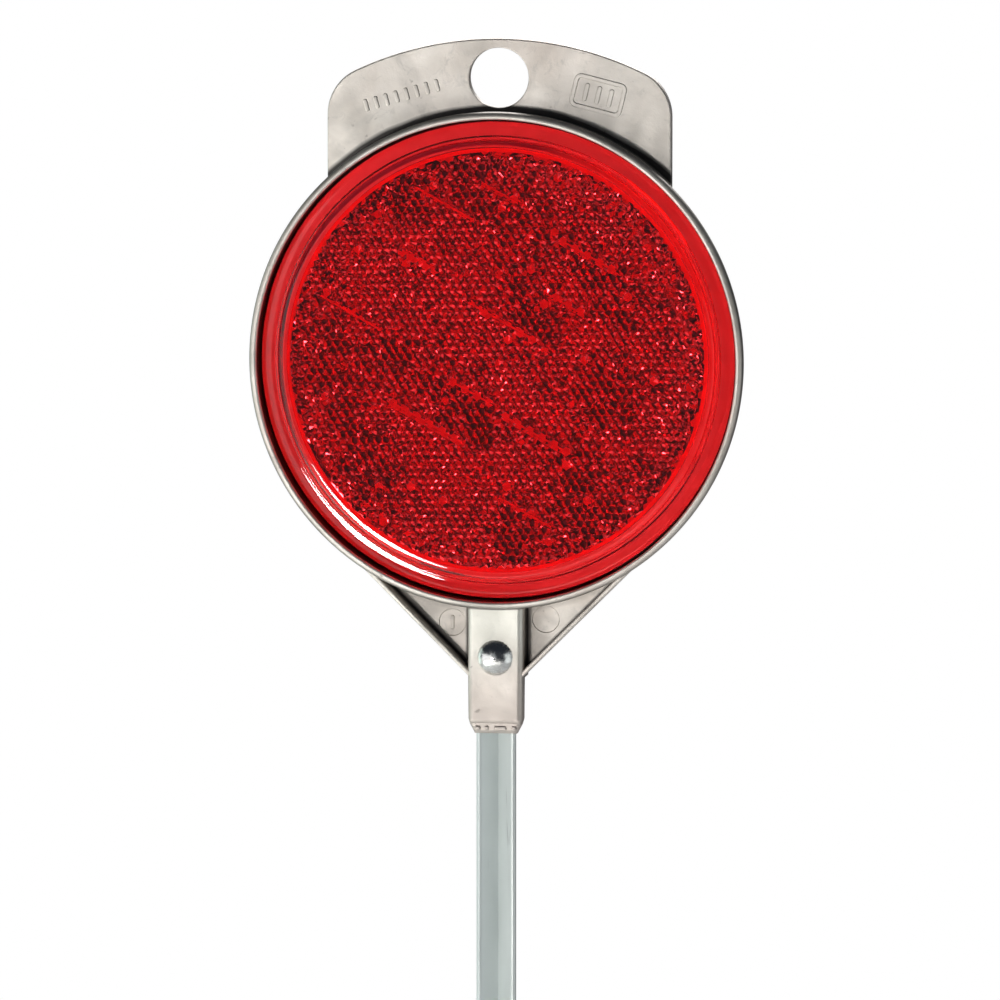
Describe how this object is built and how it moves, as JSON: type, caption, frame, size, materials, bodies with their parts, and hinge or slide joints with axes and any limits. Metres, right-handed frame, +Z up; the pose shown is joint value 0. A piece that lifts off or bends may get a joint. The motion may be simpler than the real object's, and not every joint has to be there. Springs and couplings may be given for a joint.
{
  "type": "driveway snow marker",
  "caption": "Round red reflector in a cast metal head with a hanging ear, riveted to a V-section stake that is pushed into the ground.",
  "frame": {"origin": "under the middle of the marker, level with the stake's tip", "axes": "+Z up along the stake, the reflector faces -Y, +X to the right seen from the front"},
  "size_m": [0.0868, 0.008, 0.9144],
  "materials": {
    "cast_metal": "satin cast, faintly warm",
    "foam_tape": "closed-cell foam tape",
    "backing_plastic": "white moulded plastic, seen through the lens",
    "red_lens": "clear red acrylic, polished face",
    "stake_metal": "mill finish with fine draw lines",
    "rivet_metal": "bright, polished by the setting tool"
  },
  "bodies": {
    "root": {"head_casting": "cast_metal", "adhesive_pad": "foam_tape", "reflector_backing": "backing_plastic", "reflector_lens": "red_lens", "stake": "stake_metal", "stake_rivet": "rivet_metal"}
  },
  "joints": []
}
